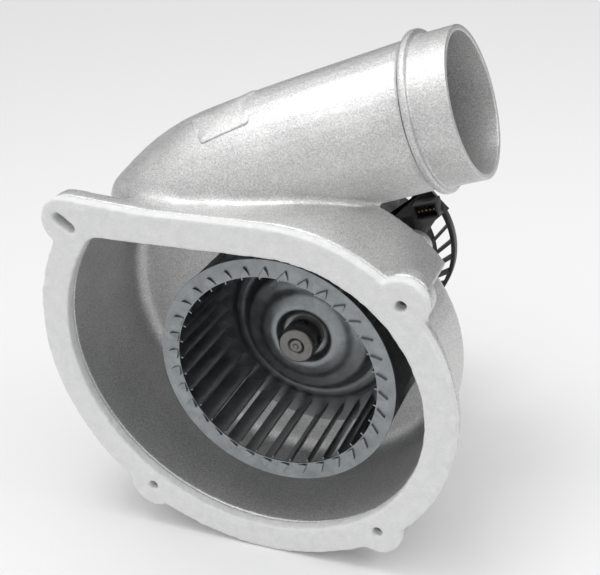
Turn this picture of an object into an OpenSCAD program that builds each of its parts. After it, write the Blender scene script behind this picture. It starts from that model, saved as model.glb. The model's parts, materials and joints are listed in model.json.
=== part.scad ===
// Direct-current scroll blower: cast scroll casing with a round spigot, felt gasket,
// sheet-steel drum impeller and an external-rotor motor on a stand-off carrier.
// X runs right along the straight edge of the flange, Y runs back along the shaft,
// Z runs up. The origin is on the shaft axis in the mounting face of the gasket.

/* [Casing] */
// Height of the straight top edge of the opening above the shaft
opening_top = 72.6; // [70:0.2:82]
// Radius of the arc on the right and below the shaft
arc_right_r = 82; // [78:0.5:95]
// Radius of the arc at the lower left
arc_low_r = 109; // [100:0.5:125]
// Radius of the arc at the left
arc_left_r = 96.4; // [88:0.5:112]
// Width of the mounting flange around the opening
flange_w = 16.2; // [12:0.2:20]
// Thickness of the mounting flange
flange_t = 5; // [4:0.5:8]
// Depth of the casing behind the gasket
casing_depth = 72.5; // [68:0.5:90]
// Wall thickness of the casting
wall = 4; // [3:0.5:6]
// Inside radius between the side wall and the rear wall
fillet_r = 10; // [6:0.5:14]

/* [Gasket and ears] */
// Thickness of the felt gasket
gasket_t = 6.5; // [3:0.5:10]
// Outer radius of the four ears
ear_r = 13.8; // [11:0.2:16]
// Radius of the screw holes in the ears
ear_hole_r = 2.9; // [2.2:0.1:3.5]
// Length of the slot in the upper left ear
ear_slot_len = 15; // [10:0.5:18]
// Thickness of the casting at the ears
ear_t = 9; // [7:0.5:14]

/* [Outlet duct] */
// Outer diameter of the spigot
spigot_d = 80; // [70:0.5:96]
// Length of the spigot in front of its bead
spigot_len = 20; // [12:0.5:30]
// Wall thickness of the duct
duct_wall = 3.2; // [2.4:0.2:5]
// Height of the bead above the spigot
bead_h = 3.2; // [2:0.2:5]
// Angle of the spigot above the flange's straight edge
spigot_angle = 17.2; // [8:0.2:22]
// Centre of the spigot's mouth, right of the shaft
mouth_x = 85; // [75:0.5:100]
// Centre of the spigot's mouth, behind the mounting face
mouth_y = 91.5; // [80:0.5:100]
// Centre of the spigot's mouth, above the shaft
mouth_z = 128.8; // [124:0.5:150]

/* [Impeller] */
// Outer diameter of the impeller
wheel_d = 133; // [120:0.5:138]
// Width of the impeller over ring and disc
wheel_w = 61; // [45:0.5:62]
// Radial width of the blades and of the front ring
blade_w = 10.2; // [7:0.1:13]
// Number of blades
blade_n = 34; // [24:1:40]
// Thickness of the impeller's steel sheet
sheet_t = 1; // [0.8:0.1:1.2]
// Gap between the gasket and the front ring
ring_gap = 4.6; // [2:0.1:7]

/* [Shaft and hub] */
// Diameter of the motor shaft
shaft_d = 8; // [6:0.5:9]
// Outer diameter of the impeller hub
hub_d = 21.2; // [18:0.2:24]
// Length of the impeller hub
hub_len = 26; // [18:0.5:30]

/* [Motor] */
// Outer diameter of the steel rotor cup
cup_d = 66; // [60:0.5:69]
// Length of the rotor cup
cup_len = 32; // [30:0.5:38]
// Length of the stator's iron core
core_len = 20; // [14:0.5:20]
// Number of stator teeth
tooth_n = 12; // [9:3:12]
// Gap between the stator and the magnets
air_gap = 0.6; // [0.5:0.1:1]
// Clear height of the carrier's legs
leg_len = 40; // [30:0.5:50]

/* [Cooling wheel] */
// Outer diameter of the cooling wheel
cooler_d = 108; // [96:1:120]
// Number of cooling blades
cooler_blade_n = 30; // [18:1:36]

/* [Hidden] */
eps = 0.01;
$fn = 96;

// --- casing outline: tangent arcs, clockwise from the straight top edge ---
arc_x = 2.2;
corner_r = fillet_r + 1.5;
turn_right = 155.3;
turn_low = 96.3;
function polar(r, a) = [r * cos(a), r * sin(a)];
c_right = [arc_x, opening_top - arc_right_r];
end_right = 90 - turn_right;
c_low = c_right + polar(arc_right_r - arc_low_r, end_right);
end_low = end_right - turn_low;
c_left = c_low + polar(arc_low_r - arc_left_r, end_low);
end_left = -180 - asin((opening_top - corner_r - c_left[1]) / (arc_left_r - corner_r));
c_corner = c_left + polar(arc_left_r - corner_r, end_left);
// Each arc is [centre, radius, start angle, clockwise sweep]
ARCS = [[c_right, arc_right_r, 90, turn_right],
        [c_low, arc_low_r, end_right, turn_low],
        [c_left, arc_left_r, end_low, end_low - end_left],
        [c_corner, corner_r, end_left, end_left + 270]];

ARC_STEPS = [30, 20, 10, 5];
// Points clockwise along the outline grown by an offset
function outline_points(off) = [for (i = [0 : 3]) for (k = [0 : ARC_STEPS[i] - (i < 3 ? 1 : 0)])
    ARCS[i][0] + polar(ARCS[i][1] + off, ARCS[i][2] - ARCS[i][3] * k / ARC_STEPS[i])];

// --- depths from the gasket's mounting face ---
flange_y = gasket_t;
flange_back = flange_y + flange_t;
casing_y = gasket_t + casing_depth;
floor_y = casing_y - wall;
fillet_out = fillet_r + wall;
shelf_y = casing_y - 17;
shelf_start = flange_back + 8.5;
shelf_x = -30;
shelf_sweep = 52;
roof_z = opening_top + wall;
shaft_hole_r = shaft_d / 2 + 6;

// --- ears: [arc, angle, how far the centre lies inside the flange's edge] ---
EARS = [[0, 42.9, 2.2], [0, -52.5, 6.2], [1, -125, 6.2]];
SLOT_EAR = [3, 138.5, 0.8];
function ear_pos(e) = ARCS[e[0]][0] + polar(ARCS[e[0]][1] + flange_w - e[2], e[1]);
slot_pos = ear_pos(SLOT_EAR);
ear_web_len = 48;
slot_angle = atan2(-slot_pos[1], -slot_pos[0]);

// --- outlet duct: two guiding curves in the XZ plane and a drift along Y ---
spigot_r = spigot_d / 2;
bead_w = 4;
body_s = spigot_len + bead_w;
mouth = [mouth_x, mouth_y, mouth_z];
spigot_dir = [cos(spigot_angle), sin(spigot_angle)];
spigot_up = [-sin(spigot_angle), cos(spigot_angle)];
body_end = [mouth_x, mouth_z] - body_s * spigot_dir;
body_r = spigot_r - 0.5;
heel_x = c_corner[0] - 18;
tongue_x = -36;
heel_y = (flange_back + casing_y) / 2 + 1.5;
heel_half = (casing_y - flange_back) / 2 - 6;
TOP_CURVE = [[heel_x, opening_top - 10.6], [heel_x + 0.5, opening_top + 39.4],
             [-70, opening_top + 49.4], body_end + body_r * spigot_up];
LOW_CURVE = [[tongue_x + 4, opening_top - 16.6], [tongue_x + 4, opening_top - 0.6],
             [-35, opening_top - 14.6], body_end - body_r * spigot_up];
duct_steps = 16;
duct_sides = 36;
function bezier(c, t) = pow(1 - t, 3) * c[0] + 3 * t * pow(1 - t, 2) * c[1]
                      + 3 * t * t * (1 - t) * c[2] + pow(t, 3) * c[3];
function blend(a, b, t) = a + (b - a) * t;
function duct_ring(t, inset) =
    let (top = bezier(TOP_CURVE, t), low = bezier(LOW_CURVE, t),
         half = norm(top - low) / 2 - inset, dir = (top - low) / norm(top - low),
         mid = (top + low) / 2, y = blend(heel_y, mouth_y, pow(t, 3.2)),
         depth = blend(heel_half, body_r, t * t) - inset)
    [for (i = [0 : duct_sides - 1])
        let (a = 360 * i / duct_sides, p = mid + half * cos(a) * dir)
        [p[0], y + depth * sin(a), p[1]]];

// --- impeller ---
wheel_r = wheel_d / 2;
ring_y = gasket_t + ring_gap;
disc_y = ring_y + wheel_w - sheet_t;
eye_r = wheel_r - blade_w;
blade_lead = 8;
blade_steps = 5;
blade_over = 1.6;
tab_from = 0.23;
tab_to = 0.68;
tab_h = 4;
tab_t = 0.8;
hub_y = ring_y + 29.7;
hub_r = hub_d / 2;
shaft_r = shaft_d / 2;
web_y = ring_y + 46;
collar_r = hub_r + 7;
set_screw_r = 2;

// --- motor carrier behind the casing ---
post_pcd_r = 48;
post_r = 8;
post_len = 10;
post_y = casing_y + post_len;
POST_ANGLES = [30, 150, 270];
washer_t = 2;
leg_y = post_y + washer_t;
plate_y = leg_y + leg_len;
plate_t = 5;
plate_back = plate_y + plate_t;
leg_r = 7;
screw_r = 2.5;
screw_clear = 0.3;
head_r = 4.25;
head_h = 4;
small_screw_r = 1.25;
small_head_r = 2.3;
tube_r = 13.5;
tube_bore = 11;
tube_flange_r = 22;
tube_flange_t = 3;
tube_pcd_r = 18;
TUBE_SCREW_ANGLES = [90, 210, 330];

// --- motor ---
board_y = plate_back + 5;
board_t = 1.6;
board_r = 38;
board_pcd_r = 34;
BOARD_ANGLES = [90, 210, 330];
tooth_w = 3.6;
cup_r = cup_d / 2;
cup_y = board_y + board_t + 2.4;
cup_back = cup_y + cup_len;
cup_wall = 2;
magnet_t = 3;
magnet_r = cup_r - cup_wall;
core_r = magnet_r - magnet_t - air_gap;
core_y = cup_y + 3;
core_back = core_y + core_len;
insulator_t = 1.5;
tube_back = core_back + 1;
bearing_r = tube_bore;
bearing_w = 7;
bearing_lip = 1.5;
front_bearing_y = plate_y + bearing_lip;
rear_bearing_y = tube_back - bearing_w;
race_t = 1.9;
ball_r = 1.9;
bush_r = 9;
bush_y = tube_back + 1.2;
shaft_end = cup_back + 5;
connector_angle = 45;
connector_reach = 68.6;
connector_turn = -17;
connector_h = 10;

// --- cooling wheel, a dished wheel around the rotor cup ---
cooler_r = cooler_d / 2;
blade_lean = 36;
fin_t = 1.9;
collar_out = cup_r + 3.4;
dish_y = cup_back - 17;
band_r = collar_out + 4.2;
band_out = band_r + 3.8;
rim_w = 2.6;
rim_y = dish_y + 22;
rim_depth = 6;

// Draws a flat shape given in X and Z as a slab from y0 to y1
module along_y(y0, y1) {
    translate([0, y1, 0]) rotate([90, 0, 0]) linear_extrude(y1 - y0) children();
}

// Turns a profile of [radius, y] around the shaft
module turned(profile) {
    rotate([-90, 0, 0]) rotate_extrude() polygon(profile);
}

// Plain disc or ring around an axis along Y through c
module ring_y0(c, y0, y1, r, hole = 0) {
    translate([c[0], y0, c[1]]) rotate([-90, 0, 0]) difference() {
        cylinder(h = y1 - y0, r = r);
        if (hole > 0) translate([0, 0, -1]) cylinder(h = y1 - y0 + 2, r = hole);
    }
}

// Flat shape of everything inside the outline grown by an offset
module outline_face(off) {
    polygon(outline_points(off));
}

module outline_slab(off, y0, y1) {
    along_y(y0, y1) outline_face(off);
}

// Section of the pan from the rear wall over the flange to the middle of its floor
PAN = concat(
    [for (a = [90 : -15 : 0]) [wall - fillet_out * (1 - cos(a)),
                               casing_y - fillet_out * (1 - sin(a))]],
    [[wall, flange_back], [flange_w, flange_back], [flange_w, flange_y], [0, flange_y]],
    [for (a = [0 : 15 : 90]) [-fillet_r * (1 - cos(a)), floor_y - fillet_r * (1 - sin(a))]]);

module scroll_pan() {
    loft([for (q = PAN) [for (p = outline_points(q[0])) [p[0], q[1], p[1]]]]);
}

// Outer wall over the top, flush with the flange's edge, that carries the duct
module shelf() {
    far = 3 * arc_right_r;
    y0 = flange_back - 1;
    along_y(y0, shelf_start) shelf_face([[c_corner[0], opening_top], [c_corner[0], far],
                                         [shelf_x + 1, far], [shelf_x + 1, opening_top]]);
    along_y(y0, shelf_y) shelf_face([[shelf_x, c_right[1]], [shelf_x, far],
                                     c_right + polar(far, 90 - shelf_sweep), c_right]);
}

module shelf_face(region) {
    intersection() {
        difference() {
            outline_face(flange_w);
            outline_face(flange_w - wall);
        }
        polygon(region);
    }
}

// Closed skin over a row of rings with equal numbers of points
module loft(rings) {
    n = len(rings[0]);
    m = len(rings) - 1;
    sides = [for (k = [0 : m - 1]) for (i = [0 : n - 1])
        let (j = (i + 1) % n, a = k * n, b = a + n)
        for (f = [[a + i, a + j, b + j], [a + i, b + j, b + i]]) f];
    first = [for (i = [n - 1 : -1 : 0]) i];
    last = [for (i = [0 : n - 1]) m * n + i];
    polyhedron([for (r = rings) for (p = r) p], concat(sides, [first, last]));
}

module duct_body(inset) {
    loft([for (k = [0 : duct_steps]) duct_ring(k / duct_steps, inset)]);
}

// Local Z runs from the mouth back along the spigot's axis
module at_mouth() {
    translate(mouth) rotate([0, -spigot_angle, 0]) rotate([0, -90, 0]) children();
}

module ears(y0, y1) {
    for (e = EARS) ring_y0(ear_pos(e), y0, y1, ear_r);
    ring_y0(slot_pos, y0, y1, ear_r);
    along_y(y0, y1) polygon(slot_ear_web());
}

// Straight run from the top of the slotted ear down to the flange's top edge
function slot_ear_web() =
    let (foot = [slot_pos[0] + ear_web_len, opening_top + flange_w - 0.05],
         d = foot - slot_pos,
         a = atan2(d[1], d[0]) + acos(ear_r / norm(d)))
    [slot_pos, slot_pos + polar(ear_r - 0.05, a), foot, foot - [0, flange_w / 2]];

module ear_holes(y0, y1) {
    for (e = EARS) ring_y0(ear_pos(e), y0, y1, ear_hole_r);
    half = ear_slot_len / 2 - ear_hole_r;
    for (s = [-1, 1]) ring_y0(slot_pos + s * polar(half, slot_angle), y0, y1, ear_hole_r);
    translate([slot_pos[0], y0, slot_pos[1]]) rotate([0, -slot_angle, 0])
        translate([-half, 0, -ear_hole_r]) cube([2 * half, y1 - y0, 2 * ear_hole_r]);
}

module scroll_housing() {
    color("silver") difference() {
        union() {
            scroll_pan();
            difference() {
                shelf();
                duct_body(0);
            }
            difference() {
                ears(flange_y, flange_y + ear_t);
                outline_slab(0, flange_y - 1, flange_y + ear_t + 1);
            }
            for (a = POST_ANGLES) ring_y0(polar(post_pcd_r, a), casing_y - 1, post_y, post_r);
            ring_y0([0, 0], casing_y - 1, casing_y + 3, shaft_hole_r + 6);
        }
        ear_blocks(flange_y - 1, flange_y + ear_t + 1);
        ear_holes(flange_y - 1, flange_y + ear_t + 1);
        ring_y0([0, 0], floor_y - 1, casing_y + 4, shaft_hole_r);
        for (a = POST_ANGLES)
            ring_y0(polar(post_pcd_r, a), floor_y + 2, post_y + 1, screw_r + eps);
        outlet_passage(opening_top - 3, roof_z + 1);
    }
}

// Blocks around the drilled ears, which stop short of the wall behind the flange
module ear_blocks(y0, y1) {
    for (e = EARS) translate([ARCS[e[0]][0][0], y0, ARCS[e[0]][0][1]]) rotate([0, -e[1], 0])
        translate([ARCS[e[0]][1] + wall + 1, 0, -ear_r - 1])
            cube([flange_w + ear_r, y1 - y0, 2 * ear_r + 2]);
}

// Drilled ears, each with its share of the flange
module mounting_ears() {
    color("silver") difference() {
        intersection() {
            union() {
                for (e = EARS) ring_y0(ear_pos(e), flange_y, flange_y + ear_t, ear_r);
                outline_slab(flange_w, flange_y, flange_y + flange_t);
            }
            ear_blocks(flange_y - 1, flange_y + ear_t + 1);
        }
        ear_holes(flange_y - 1, flange_y + ear_t + 1);
    }
}

// Opening from the scroll up into the duct, with round corners
module outlet_passage(z0, z1) {
    x0 = c_corner[0] - 3;
    y0 = heel_y - heel_half + duct_wall + 2;
    y1 = heel_y + heel_half - duct_wall - 2;
    r = 8;
    translate([0, 0, z0]) linear_extrude(z1 - z0) {
        translate([x0 + r, y0]) square([tongue_x - x0 - 2 * r, y1 - y0]);
        translate([x0, y0 + r]) square([tongue_x - x0, y1 - y0 - 2 * r]);
        for (x = [x0 + r, tongue_x - r], y = [y0 + r, y1 - r]) translate([x, y]) circle(r);
    }
}

module outlet_duct() {
    color("silver") difference() {
        union() {
            difference() {
                duct_body(0);
                translate([-500, -500, roof_z - 500]) cube([1000, 1000, 500]);
            }
            at_mouth() cylinder(h = body_s + 1, r = spigot_r);
            at_mouth() translate([0, 0, spigot_len]) rotate_extrude()
                polygon([[spigot_r - 1, 0], [spigot_r + bead_h - 1, 0], [spigot_r + bead_h, 1],
                         [spigot_r + bead_h, bead_w - 1], [spigot_r + bead_h - 1, bead_w],
                         [spigot_r - 1, bead_w]]);
        }
        difference() {
            duct_body(duct_wall);
            translate([tongue_x, -500, roof_z + duct_wall - 500]) cube([500, 1000, 500]);
        }
        at_mouth() translate([0, 0, -1]) cylinder(h = body_s + 1.5, r = spigot_r - duct_wall);
    }
}

module flange_gasket() {
    color("whitesmoke") difference() {
        union() {
            along_y(0, gasket_t) difference() {
                outline_face(flange_w);
                outline_face(0);
            }
            difference() {
                ears(0, gasket_t);
                outline_slab(0, -1, gasket_t + 1);
            }
        }
        ear_holes(-1, gasket_t + 1);
    }
}

module thermal_washers() {
    color("dimgray") for (a = POST_ANGLES)
        ring_y0(polar(post_pcd_r, a), post_y, leg_y, post_r, screw_r + screw_clear);
}

module motor_carrier() {
    color("silver") difference() {
        union() {
            for (a = POST_ANGLES) ring_y0(polar(post_pcd_r, a), leg_y, plate_back, leg_r);
            along_y(plate_y, plate_back) carrier_outline();
        }
        ring_y0([0, 0], plate_y - 1, plate_back + 1, tube_r);
        for (a = POST_ANGLES)
            ring_y0(polar(post_pcd_r, a), leg_y - 1, plate_back + 1, screw_r + screw_clear);
        for (a = TUBE_SCREW_ANGLES)
            ring_y0(polar(tube_pcd_r, a), plate_y - 1, plate_back + 1, small_screw_r);
        for (a = BOARD_ANGLES)
            ring_y0(polar(board_pcd_r, a), plate_y - 1, plate_back + 1, small_screw_r);
    }
}

// Rounded triangle over the three legs
module carrier_outline() {
    for (a = POST_ANGLES) translate(polar(post_pcd_r, a)) circle(leg_r + 3);
    polygon([for (a = POST_ANGLES) for (s = [-60, 60])
        polar(post_pcd_r, a) + polar(leg_r + 2.95, a + s)]);
    circle(board_r + 1);
}

module carrier_screws() {
    color("gray") for (a = POST_ANGLES) {
        ring_y0(polar(post_pcd_r, a), floor_y + 3, plate_back + 1, screw_r);
        difference() {
            ring_y0(polar(post_pcd_r, a), plate_back, plate_back + head_h, head_r);
            translate([polar(post_pcd_r, a)[0], plate_back + head_h - 2.5, polar(post_pcd_r, a)[1]])
                rotate([-90, 0, 0]) cylinder(h = 4, r = 2.3, $fn = 6);
        }
    }
}

module bearing_tube() {
    color("silver") difference() {
        union() {
            ring_y0([0, 0], plate_y, tube_back, tube_r);
            ring_y0([0, 0], plate_back, plate_back + tube_flange_t, tube_flange_r);
        }
        ring_y0([0, 0], front_bearing_y, tube_back + 1, tube_bore);
        ring_y0([0, 0], plate_y - 1, tube_back, tube_bore - 2);
        for (a = TUBE_SCREW_ANGLES)
            ring_y0(polar(tube_pcd_r, a), plate_back - 1, plate_back + tube_flange_t + 1,
                    small_screw_r + 0.2);
    }
}

module small_screw(p, y0, y1) {
    ring_y0(p, y0, y1 + 0.5, small_screw_r);
    difference() {
        ring_y0(p, y1, y1 + 1.8, small_head_r);
        translate([p[0], y1 + 0.8, p[1]]) rotate([-90, 0, 0]) cylinder(h = 2, r = 1.1, $fn = 6);
    }
}

module tube_screws() {
    color("gray") for (a = TUBE_SCREW_ANGLES)
        small_screw(polar(tube_pcd_r, a), plate_y + 0.5, plate_back + tube_flange_t);
}

// Bearing rings with a groove for the balls
module outer_race(y) {
    g = bearing_w / 2;
    r = bearing_r - race_t;
    turned([[bearing_r, y], [r, y], [r, y + g - 1.1], [r + 0.6, y + g - 0.5],
            [r + 0.6, y + g + 0.5], [r, y + g + 1.1], [r, y + bearing_w],
            [bearing_r, y + bearing_w]]);
}

module inner_race(y) {
    g = bearing_w / 2;
    r = shaft_r + race_t;
    turned([[shaft_r, y], [r, y], [r, y + g - 1.1], [r - 0.6, y + g - 0.5],
            [r - 0.6, y + g + 0.5], [r, y + g + 1.1], [r, y + bearing_w],
            [shaft_r, y + bearing_w]]);
}

module race_balls(y) {
    for (k = [0 : 6]) {
        p = polar((shaft_r + bearing_r) / 2, 360 / 7 * k);
        translate([p[0], y + bearing_w / 2, p[1]]) sphere(r = ball_r, $fn = 24);
    }
}

module front_bearing_outer() { color("lightgray") outer_race(front_bearing_y); }
module front_bearing_inner() { color("lightgray") inner_race(front_bearing_y); }
module front_bearing_balls() { color("white") race_balls(front_bearing_y); }
module rear_bearing_outer() { color("lightgray") outer_race(rear_bearing_y); }
module rear_bearing_inner() { color("lightgray") inner_race(rear_bearing_y); }
module rear_bearing_balls() { color("white") race_balls(rear_bearing_y); }

// Wave spring between the bearings' outer rings, drawn as a thin-walled sleeve with slots
module preload_spring() {
    y0 = front_bearing_y + bearing_w;
    y1 = rear_bearing_y;
    color("gray") difference() {
        ring_y0([0, 0], y0, y1, bearing_r, bearing_r - 0.8);
        for (k = [0 : 2]) rotate([0, 60 * k, 0])
            translate([-bearing_r - 1, y0 + 1.5 + k, -1.5])
                cube([2 * bearing_r + 2, y1 - y0 - 5, 3]);
    }
}

module stator_core() {
    color("gray") difference() {
        union() {
            ring_y0([0, 0], core_y, core_back, tube_r + 4.5);
            intersection() {
                ring_y0([0, 0], core_y, core_back, core_r);
                for (k = [0 : tooth_n - 1]) rotate([0, 360 / tooth_n * k, 0])
                    translate([-tooth_w / 2, core_y, 0]) cube([tooth_w, core_len, core_r + 1]);
            }
            difference() {
                ring_y0([0, 0], core_y, core_back, core_r, core_r - 1.6);
                for (k = [0 : tooth_n - 1]) rotate([0, 360 / tooth_n * (k + 0.5), 0])
                    translate([-1.1, core_y - 1, core_r - 4]) cube([2.2, core_len + 2, 6]);
            }
        }
        ring_y0([0, 0], core_y - 1, core_back + 1, tube_r);
    }
}

module stator_insulator() {
    color("ivory") for (y0 = [core_y - insulator_t, core_back]) difference() {
        union() {
            ring_y0([0, 0], y0, y0 + insulator_t, tube_r + 4.5);
            intersection() {
                ring_y0([0, 0], y0, y0 + insulator_t, core_r - 0.6);
                for (k = [0 : tooth_n - 1]) rotate([0, 360 / tooth_n * k, 0])
                    translate([-tooth_w / 2, y0, 0]) cube([tooth_w, insulator_t, core_r]);
            }
        }
        ring_y0([0, 0], y0 - 1, y0 + insulator_t + 1, tube_r);
    }
}

module stator_windings() {
    r0 = tube_r + 4.8;
    r1 = core_r - 2;
    w = 1.25;
    y0 = core_y - insulator_t;
    y1 = core_back + insulator_t;
    color("chocolate") for (k = [0 : tooth_n - 1]) rotate([0, 360 / tooth_n * k, 0])
        difference() {
            translate([-tooth_w / 2 - w, y0 - w, r0])
                cube([tooth_w + 2 * w, y1 - y0 + 2 * w, r1 - r0]);
            translate([-tooth_w / 2, y0, r0 - 1]) cube([tooth_w, y1 - y0, r1 - r0 + 2]);
        }
}

module circuit_board() {
    color("darkgreen") difference() {
        union() {
            ring_y0([0, 0], board_y, board_y + board_t, board_r);
            rotate([0, -connector_angle, 0]) translate([20, board_y, -9])
                cube([connector_reach - 13, board_t, 18]);
        }
        ring_y0([0, 0], board_y - 1, board_y + board_t + 1, tube_r + 1.5);
        for (a = BOARD_ANGLES)
            ring_y0(polar(board_pcd_r, a), board_y - 1, board_y + board_t + 1, small_screw_r + 0.2);
    }
}

module board_spacers() {
    color("gold") for (a = BOARD_ANGLES)
        ring_y0(polar(board_pcd_r, a), plate_back, board_y, 3, small_screw_r + 0.2);
}

module board_screws() {
    color("gray") for (a = BOARD_ANGLES)
        small_screw(polar(board_pcd_r, a), plate_y + 0.5, board_y + board_t);
}

// Black connector in front of the board's arm, open towards the casing
module at_connector() {
    p = polar(connector_reach, connector_angle);
    translate([p[0], board_y, p[1]]) rotate([0, connector_turn, 0]) children();
}

module connector_housing() {
    color("black") at_connector() difference() {
        translate([-7.5, -connector_h, -4.8]) cube([15, connector_h, 9.6]);
        translate([-6.3, -connector_h - 1, -3.6]) cube([12.6, connector_h - 1, 7.2]);
        for (k = [-2 : 2]) translate([2.4 * k - 0.4, -3, -0.4]) cube([0.8, 4, 0.8]);
    }
}

module connector_pins() {
    color("gold") at_connector() for (k = [-2 : 2])
        translate([2.4 * k - 0.4, 2 - connector_h, -0.4]) cube([0.8, connector_h - 2, 0.8]);
}

module motor_shaft() {
    y0 = hub_y;
    c = 0.7;
    color("lightgray")
        turned([[0, y0], [shaft_r - c, y0], [shaft_r, y0 + c], [shaft_r, shaft_end - c],
                [shaft_r - c, shaft_end], [0, shaft_end]]);
}

module rotor_bush() {
    color("goldenrod") difference() {
        union() {
            ring_y0([0, 0], tube_back, bush_y + 1, shaft_r + 1.7);
            ring_y0([0, 0], bush_y, cup_back - cup_wall, bush_r + 2);
            ring_y0([0, 0], cup_back - cup_wall - 1, cup_back + 2, bush_r);
        }
        ring_y0([0, 0], tube_back - 1, cup_back + 3, shaft_r);
    }
}

module rotor_cup() {
    color("gray") difference() {
        turned([[cup_r, cup_y], [cup_r, cup_back - 2], [cup_r - 2, cup_back], [bush_r, cup_back],
                [bush_r, cup_back - cup_wall], [magnet_r, cup_back - cup_wall],
                [magnet_r, cup_y]]);
        for (k = [0 : 5]) ring_y0(polar(20, 60 * k), cup_back - cup_wall - 1, cup_back + 1, 4);
    }
}

module rotor_magnets() {
    y0 = cup_y + 1;
    y1 = core_back + 1.5;
    color("dimgray") difference() {
        ring_y0([0, 0], y0, y1, magnet_r, magnet_r - magnet_t);
        for (k = [0 : 3]) rotate([0, 45 * k, 0])
            translate([-magnet_r - 1, y0 - 1, -0.4]) cube([2 * magnet_r + 2, y1 - y0 + 2, 0.8]);
    }
}

module cooling_wheel() {
    r1 = collar_out;
    color("black") {
        turned([[cup_r, dish_y - 8], [r1, dish_y - 8], [r1, dish_y + 2],
                [r1 + 0.8, dish_y + 3.5], [band_r, dish_y + 6.5], [band_out, dish_y + 14.5],
                [band_out - 2.2, dish_y + 14.5], [band_r - 2.4, dish_y + 8.5],
                [r1 - 1.2, dish_y + 5.5], [cup_r, dish_y + 4]]);
        ring_y0([0, 0], rim_y, rim_y + rim_depth, cooler_r, cooler_r - rim_w);
        for (k = [0 : cooler_blade_n - 1]) rotate([0, 360 / cooler_blade_n * k, 0])
            cooling_blade();
    }
}

// One cooling blade from the dish back and out to the rim, leaning against the turning
module cooling_blade() {
    r0 = band_r + 0.4;
    r1 = cooler_r - rim_w + 0.8;
    len = sqrt(pow(r1, 2) - pow(r0 * sin(blade_lean), 2)) - r0 * cos(blade_lean);
    translate([r0, 0, 0]) rotate([0, -blade_lean, 0]) translate([0, 0, -fin_t / 2])
        linear_extrude(fin_t) polygon([[0, dish_y + 8], [len, rim_y - 2], [len, rim_y + rim_depth - 1],
                                     [1.4, dish_y + 14.3]]);
}

module shaft_clip() {
    color("gray") ring_y0([0, 0], front_bearing_y - 0.8, front_bearing_y, shaft_r + 2.5, shaft_r);
}

module impeller_hub() {
    c = 0.8;
    color("silver") difference() {
        turned([[shaft_r, hub_y + c], [shaft_r + c, hub_y], [hub_r - c, hub_y], [hub_r, hub_y + c],
                [hub_r, web_y + 1.2], [collar_r, web_y + 1.2], [collar_r, web_y + 4.2],
                [hub_r, web_y + 4.2], [hub_r, hub_y + hub_len], [shaft_r, hub_y + hub_len]]);
        translate([0, web_y + 7, 0]) cylinder(h = hub_r + 1, r = set_screw_r);
    }
}

module hub_set_screw() {
    color("dimgray") difference() {
        translate([0, web_y + 7, shaft_r]) cylinder(h = hub_r - shaft_r - 0.5, r = set_screw_r);
        translate([0, web_y + 7, hub_r - 2.5]) cylinder(h = 3, r = 1.15, $fn = 6);
    }
}

// Pressed back disc: [radius, depth behind the front ring] of its rear face
module impeller_back_disc() {
    w = wheel_w;
    e = eye_r - 0.3;
    rear = [[wheel_r, w], [e - 4, w], [e - 9, w - 4], [e - 15, w - 5.5], [e - 20, w - 12],
            [e - 29, w - 14.5], [e - 34, w - 19], [hub_r + 4.9, w - 20], [hub_r + 3.9, w - 17],
            [hub_r + 2.4, w - 13.8], [hub_r, w - 13.8]];
    t = sheet_t + 0.1;
    n = len(rear) - 1;
    front = [for (k = [n : -1 : 0])
        let (p = rear[k]) [p[0] - (k > 7 && k < n ? 1 : 0), p[1] - (k < 2 ? sheet_t : t)]];
    color("lightsteelblue") turned([for (p = concat(rear, front)) [p[0], ring_y + p[1]]]);
}

// Curved strip between two shares of the blade's width, widened by a margin
function blade_point(u) =
    polar(eye_r - blade_over + u * (blade_w + blade_over - 0.8), -blade_lead * pow(u, 1.8));
function blade_side(u, s) =
    let (d = blade_point(u + 0.01) - blade_point(u - 0.01 * (u > 0.01 ? 1 : 0)),
         n = [-d[1], d[0]] / norm(d))
    blade_point(u) + s * n;
function blade_strip(u0, u1, margin) =
    let (h = sheet_t * 0.4 + margin, m = blade_steps)
    concat([for (k = [0 : m]) blade_side(blend(u0, u1, k / m), h)],
           [for (k = [m : -1 : 0]) blade_side(blend(u0, u1, k / m), -h)]);

module per_blade() {
    for (k = [0 : blade_n - 1]) rotate([0, 360 / blade_n * k, 0]) children();
}

module impeller_blades() {
    color("lightsteelblue") per_blade() {
        along_y(ring_y + sheet_t, disc_y) polygon(blade_strip(0, 1, 0));
        along_y(ring_y - tab_t, ring_y + sheet_t) polygon(blade_strip(tab_from, tab_to, 0));
        along_y(ring_y - tab_t, ring_y)
            polygon([blade_side(tab_from, 0), blade_side(tab_from + 0.1, -tab_h * 0.8),
                     blade_side(tab_from + 0.22, -tab_h), blade_side(tab_to - 0.1, -tab_h * 0.8),
                     blade_side(tab_to, 0)]);
    }
}

module impeller_front_ring() {
    color("lightsteelblue") difference() {
        ring_y0([0, 0], ring_y, ring_y + sheet_t, wheel_r, eye_r);
        per_blade() along_y(ring_y - 1, ring_y + sheet_t + 1)
            polygon(blade_strip(tab_from - 0.006, tab_to + 0.006, 0.04));
    }
}

scroll_housing();
mounting_ears();
outlet_duct();
flange_gasket();
thermal_washers();
motor_carrier();
carrier_screws();
bearing_tube();
tube_screws();
front_bearing_outer();
front_bearing_inner();
front_bearing_balls();
rear_bearing_outer();
rear_bearing_inner();
rear_bearing_balls();
preload_spring();
stator_core();
stator_insulator();
stator_windings();
circuit_board();
board_spacers();
board_screws();
connector_housing();
connector_pins();
motor_shaft();
rotor_bush();
rotor_cup();
rotor_magnets();
cooling_wheel();
shaft_clip();
impeller_hub();
hub_set_screw();
impeller_back_disc();
impeller_blades();
impeller_front_ring();
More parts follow.
